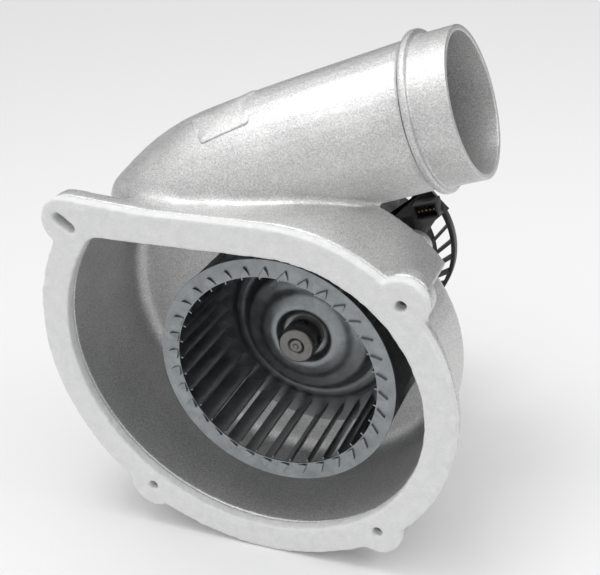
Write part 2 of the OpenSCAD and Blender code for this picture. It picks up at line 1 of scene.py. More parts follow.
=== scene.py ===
"""Looks of a scroll blower for a small burner: a blasted aluminium casting with a felt-faced
mounting flange, a galvanised drum impeller and, on legs behind, an external-rotor motor.
X runs right along the flange's straight edge, Y back along the shaft, Z up. Units are metres."""
import json
import math
import bmesh
import bpy
from mathutils import Matrix, Vector, noise
from mathutils.bvhtree import BVHTree


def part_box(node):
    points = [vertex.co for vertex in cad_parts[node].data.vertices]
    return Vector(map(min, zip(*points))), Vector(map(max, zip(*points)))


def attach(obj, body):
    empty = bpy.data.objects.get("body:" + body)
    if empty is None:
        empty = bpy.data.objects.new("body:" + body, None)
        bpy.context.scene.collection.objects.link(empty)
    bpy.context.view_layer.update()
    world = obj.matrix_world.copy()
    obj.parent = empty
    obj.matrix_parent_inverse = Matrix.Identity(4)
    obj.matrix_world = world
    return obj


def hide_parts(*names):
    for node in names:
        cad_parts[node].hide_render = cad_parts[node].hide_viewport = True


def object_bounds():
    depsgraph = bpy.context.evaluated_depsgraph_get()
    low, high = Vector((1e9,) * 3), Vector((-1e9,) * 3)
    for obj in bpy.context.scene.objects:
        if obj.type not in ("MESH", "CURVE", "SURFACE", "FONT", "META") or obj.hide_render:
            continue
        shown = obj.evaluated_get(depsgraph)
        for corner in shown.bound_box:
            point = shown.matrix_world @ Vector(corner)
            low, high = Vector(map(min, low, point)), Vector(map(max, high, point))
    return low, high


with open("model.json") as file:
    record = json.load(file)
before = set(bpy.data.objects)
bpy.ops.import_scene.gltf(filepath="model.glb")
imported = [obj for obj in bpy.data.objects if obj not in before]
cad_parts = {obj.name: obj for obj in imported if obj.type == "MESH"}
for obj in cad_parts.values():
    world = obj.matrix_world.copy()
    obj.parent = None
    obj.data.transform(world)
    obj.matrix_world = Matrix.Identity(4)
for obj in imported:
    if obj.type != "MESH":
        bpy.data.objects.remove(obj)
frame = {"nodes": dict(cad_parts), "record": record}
size_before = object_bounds()
MM = 0.001

# --- Scroll casting -------------------------------------------------------------------
# One aluminium casting: the scroll pan with its flange and ears, and the duct that grows
# out of its top. It is cast, machined at the flange and spigot, and glass-bead blasted.
CASTING = ("scroll_housing", "mounting_ears", "outlet_duct")
JOIN = 0.15 * MM
SKIN_VOXEL = 1.15 * MM
SKIN_TRIANGLES = 190000
EDGE_ROUNDS = 3
FILLET_ROUNDS = 30
FILLET_REACH = 3.2 * MM
# The duct's heel is drawn in a little, most at HEEL, and blended into the ledge below it
HEEL = Vector((-80, 40, 106)) * MM
HEEL_IN = Vector((0.78, -0.1, -0.6)).normalized()
HEEL_DEPTH = 5.0 * MM
HEEL_SPAN = 38 * MM
HEEL_LOW, HEEL_HIGH = 85 * MM, 95 * MM
HEEL_FRONT, HEEL_REAR = 44 * MM, 64 * MM
HEEL_FILLET_X = -52 * MM
HEEL_FILLET_REACH = 8.5 * MM
HEEL_ROUNDS = 70
# Small fills round out the front end of the crease and the line under the heel
CREASE_END = Vector((-34, 22.5, 88.6)) * MM
CREASE_SPAN = 11 * MM
CREASE_FILL = 3.0 * MM
UNDER_HEEL = [Vector(p) * MM for p in ((-97, 62, 77), (-91, 67.5, 76.8), (-81, 70.5, 76.2),
                                       (-70, 71.5, 76))]
UNDER_HEEL_FILL = 3.2 * MM
UNDER_HEEL_STEPS = 6


def shader(name, colour, metallic=0.0, roughness=0.5):
    """A new material and its Principled shader."""
    mat = bpy.data.materials.new(name)
    mat.use_nodes = True
    bsdf = mat.node_tree.nodes["Principled BSDF"]
    bsdf.inputs["Base Color"].default_value = (*colour, 1)
    bsdf.inputs["Metallic"].default_value = metallic
    bsdf.inputs["Roughness"].default_value = roughness
    return mat, bsdf


def add(mat, kind, inputs=None, **settings):
    """A node of this kind; a socket among its inputs is linked, any other value is set."""
    n = mat.node_tree.nodes.new("ShaderNode" + kind)
    for key, value in settings.items():
        setattr(n, key, value)
    for key, value in (inputs or {}).items():
        if isinstance(value, bpy.types.NodeSocket):
            mat.node_tree.links.new(value, n.inputs[key])
        else:
            n.inputs[key].default_value = value
    return n


def join_to(mat, socket, target):
    mat.node_tree.links.new(socket, target)


def grain(mat, scale, detail=2.0, rough=0.5, stretch=None):
    """Noise in object coordinates, in cycles per metre, drawn out along stretch."""
    place = add(mat, "TexCoord").outputs["Object"]
    if stretch:
        place = add(mat, "Mapping", {"Vector": place, "Scale": stretch}).outputs[0]
    return add(mat, "TexNoise", {"Vector": place, "Scale": scale, "Detail": detail,
                                 "Roughness": rough}).outputs["Fac"]


def spread(mat, fac, low, high):
    """A value from low to high as fac goes from 0.3 to 0.7, the span of noise."""
    return add(mat, "MapRange", {"Value": fac, "From Min": 0.3, "From Max": 0.7,
                                 "To Min": low, "To Max": high}).outputs[0]


def tint(mat, bsdf, fac, dark, light):
    ramp = add(mat, "Mix", {"Factor": fac, "A": (*dark, 1), "B": (*light, 1)}, data_type="RGBA")
    join_to(mat, ramp.outputs["Result"], bsdf.inputs["Base Color"])


def relief(mat, bsdf, *layers):
    """Bumps one on another: (height socket, depth in metres, strength)."""
    normal = None
    for height, depth, strength in layers:
        n = add(mat, "Bump", {"Height": height, "Distance": depth, "Strength": strength})
        if normal:
            join_to(mat, normal, n.inputs["Normal"])
        normal = n.outputs[0]
    join_to(mat, normal, bsdf.inputs["Normal"])


def blasted_aluminium():
    mat, bsdf = shader("blasted_aluminium", (0.6, 0.6, 0.6), 0.9, 0.46)
    place = add(mat, "TexCoord").outputs["Object"]
    pits = add(mat, "TexVoronoi", {"Vector": place, "Scale": 1900.0}, feature="F1")
    dents = add(mat, "SeparateColor", {"Color": pits.outputs["Color"]}).outputs[0]
    broad = grain(mat, 30.0, 3.0, 0.6)
    fine = grain(mat, 1250.0, 2.0, 0.6)
    tone = add(mat, "Math", {0: spread(mat, broad, 0.0, 0.2), 1: spread(mat, fine, 0.0, 0.45)},
               operation="ADD").outputs[0]
    speck = add(mat, "Math", {0: dents, 1: 0.4, 2: tone}, operation="MULTIPLY_ADD").outputs[0]
    tint(mat, bsdf, speck, (0.4, 0.4, 0.4), (0.88, 0.88, 0.875))
    join_to(mat, spread(mat, fine, 0.36, 0.5), bsdf.inputs["Roughness"])
    relief(mat, bsdf, (dents, 0.0002, 0.7), (fine, 0.00025, 0.6), (broad, 0.0012, 0.1))
    return mat


def cad_mesh(*names):
    """A merged copy of these nodes' meshes."""
    bm = bmesh.new()
    for name in names:
        bm.from_mesh(frame["nodes"][name].data)
    bmesh.ops.remove_doubles(bm, verts=bm.verts, dist=1e-6)
    return bm


def piece(name, bm, material, body, slot, *nodes, smooth=math.radians(35)):
    """Makes the object from a mesh, closes it with its finish and puts it on its body."""
    mesh = bpy.data.meshes.new(name)
    bm.to_mesh(mesh)
    bm.free()
    mesh.shade_smooth()
    if smooth:
        mesh.set_sharp_from_angle(angle=smooth)
    obj = bpy.data.objects.new(name, mesh)
    bpy.context.scene.collection.objects.link(obj)
    mesh.materials.append(material)
    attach(obj, body)
    if nodes:
        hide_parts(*nodes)
    return obj


def modified(bm, kind, **settings):
    """The mesh after one modifier."""
    mesh = bpy.data.meshes.new("work")
    bm.to_mesh(mesh)
    bm.free()
    obj = bpy.data.objects.new("work", mesh)
    bpy.context.scene.collection.objects.link(obj)
    mod = obj.modifiers.new("step", kind)
    for key, value in settings.items():
        setattr(mod, key, value)
    out = bmesh.new()
    graph = bpy.context.evaluated_depsgraph_get()
    out.from_mesh(obj.evaluated_get(graph).to_mesh())
    bpy.data.objects.remove(obj)
    bpy.data.meshes.remove(mesh)
    return out


def relax(bm, verts, rounds, factor=0.5):
    for _ in range(rounds):
        bmesh.ops.smooth_vert(bm, verts=verts, factor=factor, use_axis_x=True,
                              use_axis_y=True, use_axis_z=True)


def tree_of(*names):
    bm = cad_mesh(*names)
    tree = BVHTree.FromBMesh(bm)
    bm.free()
    return tree


spigot = next(m for m in frame["record"]["mounts"] if m["name"] == "outlet_spigot")
SPIGOT_R = spigot["dims"]["r_mm"] * MM
SPIGOT_LEN = spigot["dims"]["length_mm"] * MM
SPIGOT_AXIS = Vector(spigot["axis"]).normalized()
MOUTH = Vector(spigot["pos_m"]) + SPIGOT_AXIS * SPIGOT_LEN / 2
BEAD_W = 4 * MM
CUT_BACK = SPIGOT_LEN + BEAD_W + 0.8 * MM
SPIGOT_REACH = 8 * MM

skin = cad_mesh("scroll_housing")
for name in CASTING[1:]:
    joined = cad_mesh(name)
    joined.normal_update()
    for v in joined.verts:
        v.co += v.normal * JOIN
    work = bpy.data.meshes.new("work")
    joined.to_mesh(work)
    joined.free()
    skin.from_mesh(work)
    bpy.data.meshes.remove(work)
fills = [(CREASE_END, CREASE_FILL)]
for a, b in zip(UNDER_HEEL, UNDER_HEEL[1:]):
    fills += [(a.lerp(b, k / UNDER_HEEL_STEPS), UNDER_HEEL_FILL)
              for k in range(UNDER_HEEL_STEPS + 1)]
for spot, radius in fills:
    bmesh.ops.create_icosphere(skin, subdivisions=3, radius=radius,
                               matrix=Matrix.Translation(spot))
skin = modified(skin, "REMESH", mode="VOXEL", voxel_size=SKIN_VOXEL)


def by_spigot(point):
    """Whether a point lies round the spigot's axis, so the cut spares the flange below it."""
    away = point - MOUTH
    return (away - SPIGOT_AXIS * away.dot(SPIGOT_AXIS)).length < SPIGOT_R + SPIGOT_REACH


round_end = [f for f in skin.faces if by_spigot(f.calc_center_median())]
edges = {e for f in round_end for e in f.edges}
verts = {v for f in round_end for v in f.verts}
bmesh.ops.bisect_plane(skin, geom=list(verts) + list(edges) + round_end,
                       plane_co=MOUTH - SPIGOT_AXIS * CUT_BACK, plane_no=SPIGOT_AXIS,
                       clear_outer=True)
pan_tree, duct_tree = tree_of("scroll_housing"), tree_of("outlet_duct")
seam = [v for v in skin.verts
        if pan_tree.find_nearest(v.co, FILLET_REACH)[0] is not None
        and duct_tree.find_nearest(v.co, FILLET_REACH)[0] is not None]
heel_seam = [v for v in skin.verts if v.co.x < HEEL_FILLET_X and v.co.y < HEEL_FRONT
             and pan_tree.find_nearest(v.co, HEEL_FILLET_REACH)[0] is not None
             and duct_tree.find_nearest(v.co, HEEL_FILLET_REACH)[0] is not None]


def eased(value, start, end):
    """From 0 at start to 1 at end, smoothly."""
    t = min(1, max(0, (value - start) / (end - start)))
    return t * t * (3 - 2 * t)


crease_end = [v for v in skin.verts if (v.co - CREASE_END).length < CREASE_SPAN]
for v in skin.verts:
    near = 1 - ((v.co - HEEL).length / HEEL_SPAN) ** 2
    if near > 0:
        share = eased(v.co.z, HEEL_LOW, HEEL_HIGH) * eased(v.co.y, HEEL_REAR, HEEL_FRONT)
        v.co += HEEL_IN * HEEL_DEPTH * near * near * share
relax(skin, skin.verts[:], EDGE_ROUNDS)
relax(skin, seam, FILLET_ROUNDS)
relax(skin, heel_seam, HEEL_ROUNDS)
relax(skin, crease_end, FILLET_ROUNDS)
relax(skin, [v for v in skin.verts if any((v.co - spot).length < 2 * UNDER_HEEL_FILL
                                          for spot, _ in fills[1:])], FILLET_ROUNDS)

faces = len(skin.faces) * 2
skin = modified(skin, "DECIMATE", ratio=min(1, SKIN_TRIANGLES / faces))
ALUMINIUM = blasted_aluminium()
skin_tree = BVHTree.FromBMesh(skin)
piece("scroll_casting", skin, ALUMINIUM, "housing", "cast", *CASTING, smooth=None)

# --- Label pad ------------------------------------------------------------------------
# A plain raised pad for a label, cast with the duct on top of it and left blank.
PAD_CORNERS = [Vector(c) * MM for c in ((-54.5, 47.4, 122.9), (-41.7, 32.8, 116.3),
                                        (-18.2, 40.9, 126.5), (-23.4, 65.9, 135.9))]
PAD_ROUND = 0.13
PAD_DROP = 30 * MM
PAD_EDGE = [(1.0, -1.2), (1.0, 0.55), (0.985, 0.8), (0.955, 0.9)]
top_left, low_left, low_right, top_right = PAD_CORNERS
pad_out = (low_right - top_left).cross(top_right - low_left).normalized()


def pad_outline(steps=10):
    """Points round a unit square with rounded corners, from (-1, -1) to (1, 1)."""
    out = []
    for k, (x, y) in enumerate(((1, 1), (-1, 1), (-1, -1), (1, -1))):
        for i in range(steps + 1):
            a = math.pi / 2 * (k + i / steps)
            out.append(((1 - PAD_ROUND) * x + PAD_ROUND * math.cos(a),
                        (1 - PAD_ROUND) * y + PAD_ROUND * math.sin(a)))
    return out


def on_duct(x, y, lift):
    s, t = (x + 1) / 2, (y + 1) / 2
    flat = (low_left.lerp(low_right, s)).lerp(top_left.lerp(top_right, s), t)
    hit, normal, _, _ = skin_tree.ray_cast(flat + pad_out * PAD_DROP, -pad_out)
    return hit + normal * lift * MM


pad = bmesh.new()
rings = PAD_EDGE + [(k / 8, 0.9) for k in range(7, 0, -1)]
edge = pad_outline()
loops = [[pad.verts.new(on_duct(x * share, y * share, lift)) for x, y in edge]
         for share, lift in rings]
for a, b in zip(loops, loops[1:]):
    for k in range(len(edge)):
        j = (k + 1) % len(edge)
        pad.faces.new((a[k], a[j], b[j], b[k]))
pad.faces.new(loops[-1])
pad.faces.new(list(reversed(loops[0])))
bmesh.ops.recalc_face_normals(pad, faces=pad.faces)
piece("label_pad", pad, ALUMINIUM, "housing", "cast", smooth=math.radians(50))

# --- Spigot end -----------------------------------------------------------------------
# The round end of the casting with its bead, turned on a lathe and blasted with the rest.
# A hose is pushed over it as far as the bead.
SPIGOT_WALL = 3.2 * MM
BEAD_H = 3.2 * MM


def lathe(profile, steps=128, closed=True):
    """Turns [radius, depth] points about the Y axis; a closed profile is a ring."""
    bm = bmesh.new()
    rows = []
    for r, y in profile:
        if r < 1e-7:
            rows.append([bm.verts.new((0, y, 0))] * steps)
        else:
            rows.append([bm.verts.new((r * math.cos(a), y, r * math.sin(a)))
                         for a in (2 * math.pi * k / steps for k in range(steps))])
    pairs = list(zip(rows, rows[1:]))
    if closed:
        pairs.append((rows[-1], rows[0]))
    for a, b in pairs:
        for k in range(steps):
            j = (k + 1) % steps
            loop = []
            for v in (a[k], a[j], b[j], b[k]):
                if v not in loop:
                    loop.append(v)
            if len(loop) > 2:
                bm.faces.new(loop)
    bmesh.ops.recalc_face_normals(bm, faces=bm.faces)
    return bm


def rounded(points, radius, steps=4):
    """The profile with its corners rounded; radius is one value or one for each point."""
    out = []
    count = len(points)
    for k, (r, y) in enumerate(points):
        here = Vector((r, y))
        back, on = Vector(points[k - 1]) - here, Vector(points[(k + 1) % count]) - here
        size = radius[k] if isinstance(radius, (list, tuple)) else radius
        cut = min(size, back.length * 0.45, on.length * 0.45)
        if cut < 1e-6:
            out.append((r, y))
            continue
        a, b = here + back.normalized() * cut, here + on.normalized() * cut
        for i in range(steps + 1):
            t = i / steps
            p = a * (1 - t) ** 2 + here * 2 * t * (1 - t) + b * t * t
            out.append((p.x, p.y))
    return out


ri, ro, rb = SPIGOT_R - SPIGOT_WALL, SPIGOT_R, SPIGOT_R + BEAD_H
back = CUT_BACK + 2.2 * MM
end = lathe(rounded([(ri, 0), (ro, 0), (ro, SPIGOT_LEN), (rb, SPIGOT_LEN),
                     (rb, SPIGOT_LEN + BEAD_W), (ro + 0.2 * MM, SPIGOT_LEN + BEAD_W),
                     (ro - 1.0 * MM, back), (ri, back)],
                    [0.8 * MM, 0.8 * MM, 1.0 * MM, 1.4 * MM, 1.4 * MM, 1.2 * MM, 0, 0]), 192)
along = SPIGOT_AXIS * -1
side = Vector((0, 1, 0)).cross(along)
turn = Matrix((Vector((0, 1, 0)), along, side)).transposed().to_4x4()
end.transform(Matrix.Translation(MOUTH) @ turn)
bmesh.ops.recalc_face_normals(end, faces=end.faces)
piece("spigot_end", end, ALUMINIUM, "housing", "cast")

# --- Felt gasket ----------------------------------------------------------------------
# Thick white needled ceramic-fibre felt, die cut to the flange and glued to it. Its cut
# edges are soft and its face is slightly uneven.
FELT_VOXEL = 0.8 * MM
felt = modified(cad_mesh("flange_gasket"), "REMESH", mode="VOXEL", voxel_size=FELT_VOXEL)
relax(felt, felt.verts[:], 7)
felt.normal_update()
for v in felt.verts:
    swell = noise.noise(v.co * 70) * 0.35 + noise.noise(v.co * 260) * 0.22
    swell += noise.noise(v.co * 700) * 0.12
    front = 1.0 if v.normal.y < 0.5 else 0.0
    v.co += v.normal * (swell + 0.1) * MM * front


def needled_felt():
    mat, bsdf = shader("needled_felt", (0.86, 0.86, 0.86), 0.0, 0.95)
    mat_fibres = grain(mat, 900.0, 6.0, 0.75)
    cross = grain(mat, 420.0, 5.0, 0.8, stretch=(1.0, 1.0, 3.2))
    clumps = grain(mat, 160.0, 4.0, 0.7)
    tone = add(mat, "Math", {0: spread(mat, clumps, 0.0, 0.5), 1: spread(mat, cross, 0.0, 0.5)},
               operation="ADD").outputs[0]
    tint(mat, bsdf, tone, (0.66, 0.665, 0.67), (0.84, 0.84, 0.84))
    bsdf.inputs["Sheen Weight"].default_value = 0.35
    bsdf.inputs["Sheen Roughness"].default_value = 0.6
    bsdf.inputs["Specular IOR Level"].default_value = 0.15
    relief(mat, bsdf, (clumps, 0.0016, 0.35), (cross, 0.0008, 0.5), (mat_fibres, 0.0005, 0.7))
    return mat


piece("felt_gasket", felt, needled_felt(), "housing", "felt", "flange_gasket", smooth=None)

# --- Impeller: blades -----------------------------------------------------------------
# Forward-curved blades punched from galvanised sheet. Each has a tongue that passes
# through a slot in the front ring and is folded flat on it, clockwise.
wheel_lo, wheel_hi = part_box("impeller_front_ring")
WHEEL_R = wheel_hi.x
RING_Y = wheel_lo.y
SHEET = wheel_hi.y - wheel_lo.y
disc_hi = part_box("impeller_back_disc")[1]
WHEEL_W = disc_hi.y - RING_Y
BLADE_W = 10.2 * MM
BLADE_T = 0.8 * MM
BLADE_COUNT = 34
BLADE_LEAD = math.radians(8)
EYE_R = WHEEL_R - BLADE_W
BLADE_OVER = 1.6 * MM
TAB_FROM, TAB_TO = 0.23, 0.68
TAB_REACH = 4.6 * MM
TAB_BEND, TAB_RISE, TAB_FALL = 0.8 * MM, 1.55 * MM, 1.05 * MM


def zinc_sheet():
    # Its colours are darker than bare zinc: partly the sheet's own dull bluish grey and partly
    # painted shade, for a wheel that sits deep inside the casing.
    mat, bsdf = shader("zinc_sheet", (0.26, 0.28, 0.285), 1.0, 0.36)
    place = add(mat, "TexCoord").outputs["Object"]
    spangle = add(mat, "TexVoronoi", {"Vector": place, "Scale": 230.0}, feature="F1")
    flake = add(mat, "SeparateColor", {"Color": spangle.outputs["Color"]}).outputs[0]
    wear = grain(mat, 120.0, 5.0, 0.65)
    rub = grain(mat, 600.0, 4.0, 0.6)
    tone = add(mat, "Math", {0: flake, 1: 0.3, 2: spread(mat, wear, 0.0, 0.7)},
               operation="MULTIPLY_ADD").outputs[0]
    tint(mat, bsdf, tone, (0.2, 0.215, 0.22), (0.34, 0.36, 0.37))
    join_to(mat, spread(mat, wear, 0.3, 0.46), bsdf.inputs["Roughness"])
    relief(mat, bsdf, (rub, 0.00012, 0.25), (wear, 0.0005, 0.12))
    return mat


def shaft_ring(name, bm, count, material):
    """Geometry Nodes: the mesh repeated at even steps about the shaft, as one plain mesh."""
    tree = bpy.data.node_groups.new(name + "_ring", "GeometryNodeTree")
    face = tree.interface
    face.new_socket("Geometry", in_out="OUTPUT", socket_type="NodeSocketGeometry")
    face.new_socket("Geometry", in_out="INPUT", socket_type="NodeSocketGeometry")
    many = face.new_socket("Count", in_out="INPUT", socket_type="NodeSocketInt")
    finish = face.new_socket("Finish", in_out="INPUT", socket_type="NodeSocketMaterial")
    new, link = tree.nodes.new, tree.links.new
    given, result = new("NodeGroupInput"), new("NodeGroupOutput")
    points = new("GeometryNodeMeshLine")
    points.inputs["Offset"].default_value = (0, 0, 0)
    index, step, angle = new("GeometryNodeInputIndex"), new("ShaderNodeMath"), new("ShaderNodeMath")
    step.operation, angle.operation = "DIVIDE", "MULTIPLY"
    step.inputs[0].default_value = 2 * math.pi
    turn_to, spots = new("ShaderNodeCombineXYZ"), new("GeometryNodeInstanceOnPoints")
    real, dye = new("GeometryNodeRealizeInstances"), new("GeometryNodeSetMaterial")
    link(given.outputs["Count"], points.inputs["Count"])
    link(given.outputs["Count"], step.inputs[1])
    link(index.outputs[0], angle.inputs[0])
    link(step.outputs[0], angle.inputs[1])
    link(angle.outputs[0], turn_to.inputs["Y"])
    link(points.outputs[0], spots.inputs["Points"])
    link(given.outputs["Geometry"], spots.inputs["Instance"])
    link(turn_to.outputs[0], spots.inputs["Rotation"])
    link(spots.outputs[0], real.inputs[0])
    link(real.outputs[0], dye.inputs["Geometry"])
    link(given.outputs["Finish"], dye.inputs["Material"])
    link(dye.outputs[0], result.inputs[0])
    mesh = bpy.data.meshes.new(name)
    bm.to_mesh(mesh)
    bm.free()
    obj = bpy.data.objects.new(name, mesh)
    bpy.context.scene.collection.objects.link(obj)
    mod = obj.modifiers.new("ring", "NODES")
    mod.node_group = tree
    mod[many.identifier] = count
    mod[finish.identifier] = material
    graph = bpy.context.evaluated_depsgraph_get()
    made = bpy.data.meshes.new_from_object(obj.evaluated_get(graph))
    obj.modifiers.remove(mod)
    obj.data = made
    made.name = name
    made.shade_smooth()
    made.set_sharp_from_angle(angle=math.radians(38))
    return obj


def place_on(obj, body, slot, *nodes):
    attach(obj, body)
    if nodes:
        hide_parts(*nodes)


def blade_spot(u, shift=0.0):
    """A point on the blade's curve in the XZ plane; shift moves it counter-clockwise."""
    def on(w):
        r = EYE_R - BLADE_OVER + w * (BLADE_W + BLADE_OVER - 0.8 * MM)
        a = -BLADE_LEAD * max(w, 0) ** 1.8
        return Vector((r * math.cos(a), r * math.sin(a)))
    d = (on(u + 0.01) - on(u - 0.01)).normalized()
    return on(u) + Vector((-d.y, d.x)) * shift


def strip(bm, rows):
    """Faces over rows of points of equal length, closed round each row, with end caps."""
    lines = [[bm.verts.new(p) for p in row] for row in rows]
    for a, b in zip(lines, lines[1:]):
        for k in range(len(a)):
            j = (k + 1) % len(a)
            bm.faces.new((a[k], a[j], b[j], b[k]))
    bm.faces.new(list(reversed(lines[0])))
    bm.faces.new(lines[-1])


def one_blade():
    bm = bmesh.new()
    steps = 10
    half = BLADE_T / 2
    us = [k / steps for k in range(steps + 1)]
    section = [blade_spot(u, half) for u in us] + [blade_spot(u, -half) for u in reversed(us)]
    ys = [RING_Y + SHEET, RING_Y + WHEEL_W - SHEET]
    strip(bm, [[(p.x, y, p.y) for p in section] for y in ys])
    # The tongue: up through the slot, bent over and lying on the ring with a round tip
    bend = TAB_BEND
    top = RING_Y - TAB_RISE
    path = [(0.0, RING_Y + SHEET), (0.0, top + bend)]
    path += [(-bend * (1 - math.cos(a)), top + bend * (1 - math.sin(a)))
             for a in (math.radians(d) for d in (22, 45, 68, 90))]
    path += [(-bend - (TAB_REACH - bend) * t, top + TAB_FALL * t)
             for t in (0.15, 0.3, 0.45, 0.6, 0.72, 0.83, 0.91, 0.97, 1.0)]
    rows = []
    for k, (out, y) in enumerate(path):
        t = min(1.0, -out / TAB_REACH)
        shrink = 0.5 * (1 - max(0.06, 1 - t ** 1.7) ** 0.75)
        a = TAB_FROM + (TAB_TO - TAB_FROM) * shrink
        b = TAB_TO - (TAB_TO - TAB_FROM) * shrink
        row = []
        for u, deep in ((a, 0), (b, 0), (b, 1), (a, 1)):
            if k > 3:
                p = blade_spot(u, out)
                row.append((p.x, y + deep * (0.8 - 0.35 * t) * MM, p.y))
            else:
                p = blade_spot(u, out + half * (1 - 2 * deep))
                row.append((p.x, y, p.y))
        rows.append(row)
    strip(bm, rows)
    bmesh.ops.recalc_face_normals(bm, faces=bm.faces)
    return bm


ZINC_WITH_PAINTED_SHADE = zinc_sheet()
blades = shaft_ring("impeller_blade_set", one_blade(), BLADE_COUNT, ZINC_WITH_PAINTED_SHADE)
place_on(blades, "rotor", "zinc_sheet", "impeller_blades")

# --- Impeller: front ring and pressed back disc ----------------------------------------
# The ring is punched flat. The disc is pressed: stepped dishes lead forward to a flat
# seat that the hub is riveted into.
ring_in, ring_out = EYE_R, WHEEL_R
ring = lathe(rounded([(ring_in, RING_Y), (ring_out, RING_Y), (ring_out, RING_Y + SHEET),
                      (ring_in, RING_Y + SHEET)], 0.3 * MM, 3), 180)
piece("impeller_ring", ring, ZINC_WITH_PAINTED_SHADE, "rotor", "zinc_sheet", "impeller_front_ring")

HUB_FLANGE = 7 * MM
HUB_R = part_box("impeller_hub")[1].x - HUB_FLANGE
DISH = [(1.0, 0.0), (52.3, 0.0), (49.5, 1.2), (47.2, 4.0), (44.0, 5.2), (41.0, 5.6),
        (38.2, 8.2), (36.0, 12.0), (32.0, 13.6), (28.0, 15.0), (24.6, 17.2), (21.0, 18.6),
        (18.2, 19.2), (16.3, 18.7), (15.0, 16.8), (13.8, 14.6), (12.4, 13.9), (10.6, 13.8)]


def flowing(points, per=5):
    """A smooth curve through the points."""
    out = []
    last = len(points) - 1
    for k in range(last):
        p = [Vector(points[min(max(k + i, 0), last)]) for i in (-1, 0, 1, 2)]
        for i in range(per):
            t = i / per
            out.append(0.5 * (2 * p[1] + (p[2] - p[0]) * t
                              + (2 * p[0] - 5 * p[1] + 4 * p[2] - p[3]) * t * t
                              + (3 * p[1] - p[0] - 3 * p[2] + p[3]) * t ** 3))
    out.append(Vector(points[-1]))
    return out


# A steep stretch gets a little more depth, so that the sheet keeps its thickness
STEEP_GAIN = 0.25
rear_y = RING_Y + WHEEL_W
curve = flowing([(r * MM, -d * MM) for r, d in DISH[1:]])
rear = [(WHEEL_R, rear_y)] + [(p.x, rear_y + p.y) for p in curve]
front = []
for k in range(len(rear) - 1, -1, -1):
    a = Vector(rear[max(k - 1, 0)])
    b = Vector(rear[min(k + 1, len(rear) - 1)])
    d = (b - a).normalized()
    front.append((rear[k][0], rear[k][1] - SHEET * (1 + STEEP_GAIN * abs(d.y))))
disc = lathe(rear + front, 160)
piece("impeller_disc", disc, ZINC_WITH_PAINTED_SHADE, "rotor", "zinc_sheet", "impeller_back_disc",
      smooth=math.radians(50))

# --- Hub, set screw and shaft -----------------------------------------------------------
# A turned steel hub with chamfered ends, held on the ground shaft by a set screw.


def round_shaft(mat):
    """Sockets for the distance from the shaft's axis and the place along it."""
    place = add(mat, "TexCoord").outputs["Object"]
    parts = add(mat, "SeparateXYZ", {"Vector": place})
    flat = add(mat, "CombineXYZ", {"X": parts.outputs["X"], "Y": parts.outputs["Z"]})
    radius = add(mat, "VectorMath", {0: flat.outputs[0]}, operation="LENGTH").outputs["Value"]
    return radius, parts.outputs["Y"]


def turned_steel(name, colour, rough):
    mat, bsdf = shader(name, colour, 1.0, rough)
    radius, along_shaft = round_shaft(mat)
    tool = add(mat, "CombineXYZ", {"X": radius, "Y": along_shaft})
    lines = add(mat, "TexNoise", {"Vector": tool.outputs[0], "Scale": 3800.0, "Detail": 2.0}
                ).outputs["Fac"]
    stain = grain(mat, 160.0, 4.0)
    tint(mat, bsdf, spread(mat, stain, 0.0, 1.0), tuple(c * 0.78 for c in colour), colour)
    join_to(mat, spread(mat, stain, rough * 0.8, rough * 1.3), bsdf.inputs["Roughness"])
    relief(mat, bsdf, (lines, 0.00006, 0.5))
    return mat


WEB_DEPTH = 46 * MM
# The steel's colour is far darker than bare turned steel: painted shade for the hub, shaft and set
# screw, which sit deep in the casing's well.
STEEL_WITH_PAINTED_SHADE = turned_steel("turned_steel", (0.2, 0.195, 0.19), 0.3)
hub_lo, hub_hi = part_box("impeller_hub")
shaft_lo, shaft_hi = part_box("motor_shaft")
SHAFT_R = shaft_hi.x
web_y = RING_Y + WEB_DEPTH
flange_front, flange_back = web_y + 1.2 * MM, web_y + 4.2 * MM
c = 1.1 * MM
hub = lathe(rounded([(SHAFT_R, hub_lo.y + c), (SHAFT_R + c, hub_lo.y), (HUB_R - c, hub_lo.y),
                     (HUB_R, hub_lo.y + c), (HUB_R, flange_front),
                     (hub_hi.x, flange_front), (hub_hi.x, flange_back),
                     (HUB_R, flange_back), (HUB_R, hub_hi.y - c), (HUB_R - c, hub_hi.y),
                     (SHAFT_R, hub_hi.y)], 0.2 * MM, 2), 96)
piece("hub", hub, STEEL_WITH_PAINTED_SHADE, "rotor", "shaft_steel", "impeller_hub", smooth=math.radians(28))
dimple = 1.3 * MM
shaft = lathe(rounded([(0, shaft_lo.y + dimple), (dimple * 1.2, shaft_lo.y + 0.25 * MM),
                       (dimple * 1.35, shaft_lo.y), (SHAFT_R - 0.7 * MM, shaft_lo.y),
                       (SHAFT_R, shaft_lo.y + 0.7 * MM), (SHAFT_R, shaft_hi.y - 0.7 * MM),
                       (SHAFT_R - 0.7 * MM, shaft_hi.y), (0, shaft_hi.y)],
                      [0, 0, 0.1 * MM, 0.15 * MM, 0.15 * MM, 0.15 * MM, 0.15 * MM, 0], 2),
              72, closed=False)
piece("shaft", shaft, STEEL_WITH_PAINTED_SHADE, "rotor", "shaft_steel", "motor_shaft", smooth=math.radians(28))


def dress(node, material, body, slot, edge=0.25 * MM, angle=40):
    """Replaces a CAD node by a copy whose sharp edges are slightly broken."""
    bm = cad_mesh(node)
    bmesh.ops.dissolve_limit(bm, angle_limit=math.radians(0.5), verts=bm.verts, edges=bm.edges)
    if edge:
        bm = modified(bm, "BEVEL", width=edge, segments=2, limit_method="ANGLE",
                      angle_limit=math.radians(angle), use_clamp_overlap=True)
    return piece(node + "_part", bm, material, body, slot, node, smooth=math.radians(30))


dress("hub_set_screw", STEEL_WITH_PAINTED_SHADE, "rotor", "screws", 0)

